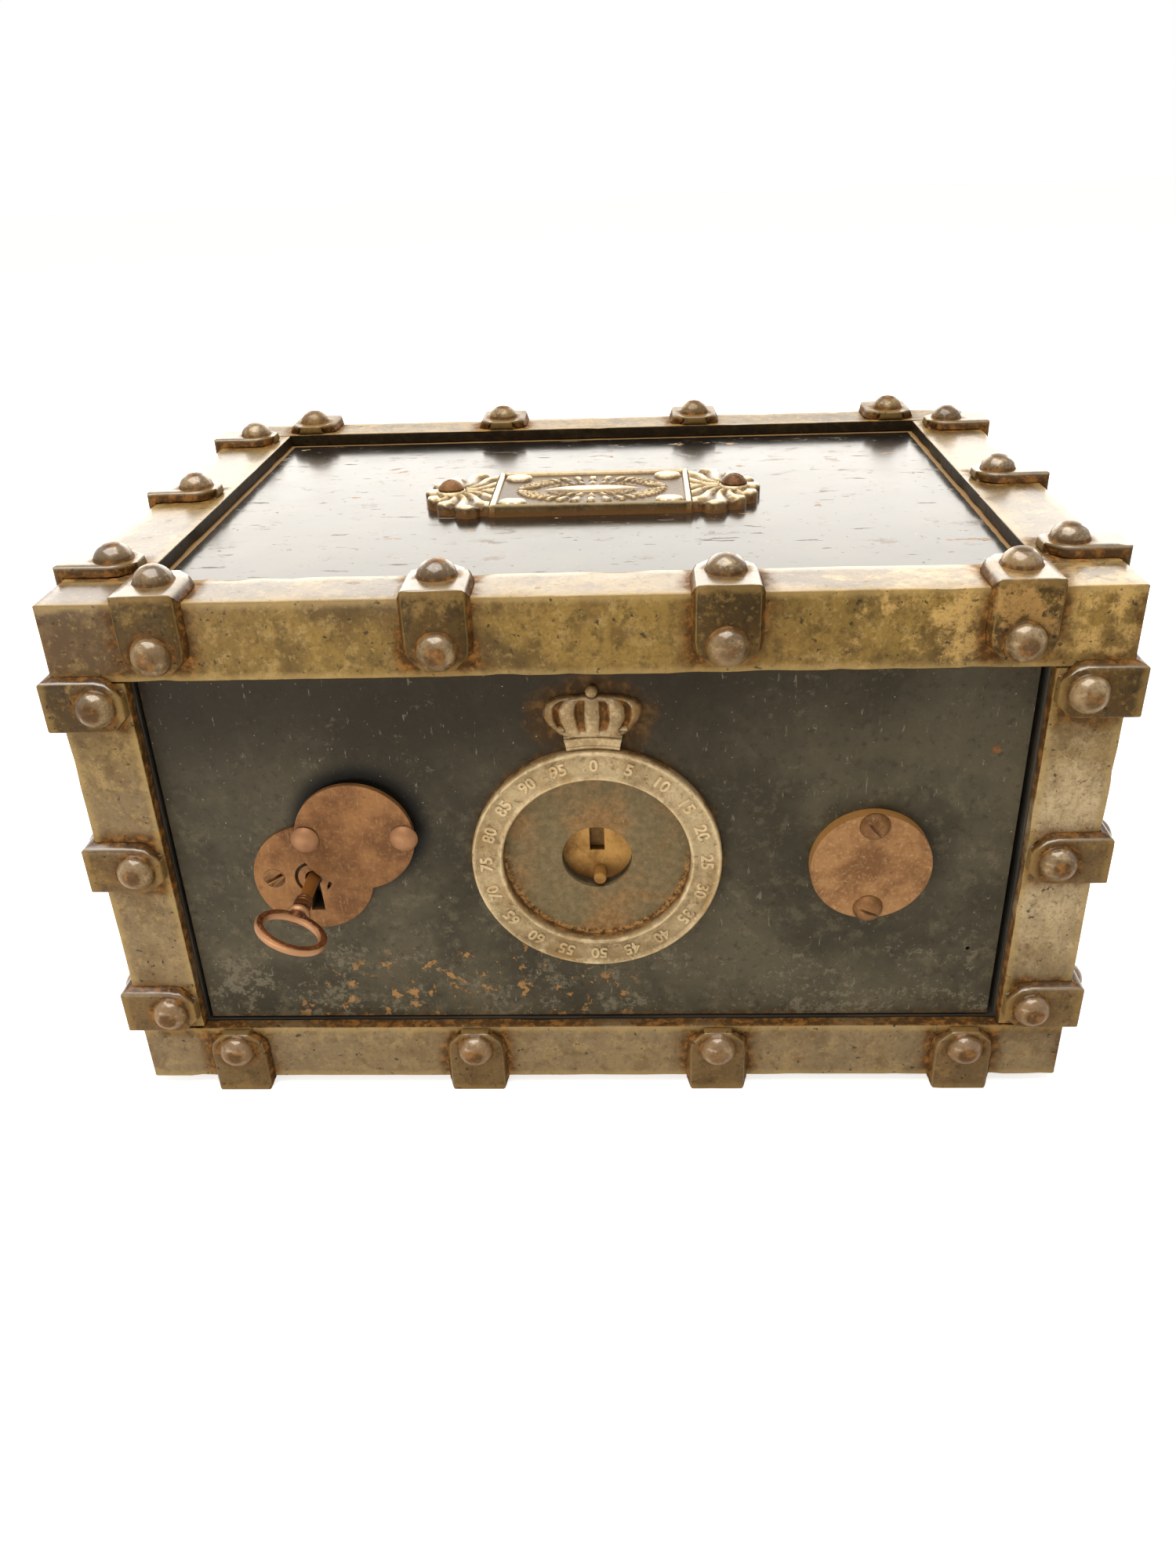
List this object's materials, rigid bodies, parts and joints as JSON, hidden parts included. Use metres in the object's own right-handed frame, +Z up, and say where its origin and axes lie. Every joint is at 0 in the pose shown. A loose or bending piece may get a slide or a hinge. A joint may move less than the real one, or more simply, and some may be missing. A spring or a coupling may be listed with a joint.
{
  "type": "fireproof safe",
  "caption": "Small antique fireproof safe: riveted angle-iron case with lined walls, and a pivoting front door with a dial ring, a key lock with a swinging cover, and sliding bolts.",
  "frame": {"origin": "on the floor under the middle of the case: the plane of the lower straps' undersides", "axes": "+Z up, the door faces -Y, +X to the right as seen from the front"},
  "size_m": [0.4, 0.3268, 0.228],
  "materials": {
    "bar_iron": "old olive-brown patina, bare on the edges, rust in the corners",
    "cleat_iron": "old olive-brown patina, worn bright on the edges",
    "rivet_iron": "hand-polished domes with rust spots",
    "panel_lacquer": "glossy black lacquer, scratched and pitted",
    "fire_lining": "pressed mineral filling",
    "liner_paint": "matt red-brown lining paint",
    "jamb_iron": "dark paint worn at the edges",
    "bush_bronze": "plain bearing bronze",
    "name_bronze": "dark cast bronze, worn on the high spots",
    "screw_iron": "aged slotted screws",
    "door_paint": "charcoal-olive paint, speckled and chipped",
    "works_steel": "machined steel",
    "hub_iron": "dark worn iron with rust",
    "ring_iron": "cast grey-khaki iron",
    "plate_copper": "brown coppery patina",
    "blank_iron": "brown iron with tan speckles",
    "key_brass": "orange worn brass"
  },
  "bodies": {
    "case": {"front_top_bar": "bar_iron", "front_bottom_bar": "bar_iron", "back_top_bar": "bar_iron", "back_bottom_bar": "bar_iron", "top_left_bar": "bar_iron", "top_right_bar": "bar_iron", "bottom_left_bar": "bar_iron", "bottom_right_bar": "bar_iron", "front_left_bar": "bar_iron", "front_right_bar": "bar_iron", "back_left_bar": "bar_iron", "back_right_bar": "bar_iron", "long_edge_cleats": "cleat_iron", "side_edge_cleats": "cleat_iron", "upright_cleats": "cleat_iron", "dome_rivets": "rivet_iron", "flush_rivets": "rivet_iron", "top_panel": "panel_lacquer", "bottom_panel": "panel_lacquer", "left_panel": "panel_lacquer", "right_panel": "panel_lacquer", "back_panel": "panel_lacquer", "front_lining": "fire_lining", "wall_lining": "fire_lining", "inner_liner": "liner_paint", "door_jamb": "jamb_iron", "pivot_bushes": "bush_bronze", "door_stop": "jamb_iron", "name_plate": "name_bronze", "name_plate_screws": "screw_iron"},
    "door": {"door_plate": "door_paint", "door_plug": "screw_iron", "pivot_pins": "works_steel", "door_pan": "door_paint", "lock_plate": "works_steel", "door_lining": "fire_lining", "pan_screws": "screw_iron", "dial_ring": "ring_iron", "crown": "ring_iron", "keyhole_escutcheon": "plate_copper", "escutcheon_screws": "screw_iron", "cover_pivot": "plate_copper", "blank_plate": "blank_iron", "blank_plate_screws": "screw_iron", "bolt_guides": "works_steel"},
    "hub": {"drive_hub": "hub_iron", "drive_pin": "hub_iron"},
    "upper_bolt": {"upper_bolt": "works_steel"},
    "lower_bolt": {"lower_bolt": "works_steel"},
    "lock_bolt": {"lock_bolt": "works_steel"},
    "key": {"key": "key_brass", "lock_barrel": "works_steel"},
    "cover": {"keyhole_cover": "plate_copper", "cover_knob": "plate_copper"}
  },
  "joints": [
    {"name": "door_swing", "type": "hinge", "parent": "case", "child": "door", "pos_m": [0.1554, -0.1255, 0.109], "axis": [0, 0, 1], "range_deg": [0, 95]},
    {"name": "hub_turn", "type": "hinge", "parent": "door", "child": "hub", "pos_m": [0.0025, -0.1205, 0.109], "axis": [0, -1, 0], "range_deg": [0, 57.29]},
    {"name": "upper_bolt_throw", "type": "slide", "parent": "door", "child": "upper_bolt", "axis": [0, 0, 1], "range_m": [0, 0.01]},
    {"name": "lower_bolt_throw", "type": "slide", "parent": "door", "child": "lower_bolt", "axis": [0, 0, -1], "range_m": [0, 0.01]},
    {"name": "key_turn", "type": "hinge", "parent": "door", "child": "key", "pos_m": [-0.1085, -0.1305, 0.102], "axis": [0, -1, 0], "range_deg": [0, 115]},
    {"name": "lock_bolt_throw", "type": "slide", "parent": "door", "child": "lock_bolt", "axis": [-1, 0, 0], "range_m": [0, 0.0151]},
    {"name": "cover_swing", "type": "hinge", "parent": "door", "child": "cover", "pos_m": [-0.1085, -0.134, 0.1215], "axis": [0, -1, 0], "range_deg": [0, 180]}
  ],
  "couplings": [
    {"joint": "upper_bolt_throw", "follows": "hub_turn", "m_per_rad": 0.01},
    {"joint": "lower_bolt_throw", "follows": "hub_turn", "m_per_rad": 0.01},
    {"joint": "lock_bolt_throw", "follows": "key_turn", "m_per_rad": 0.0075}
  ]
}
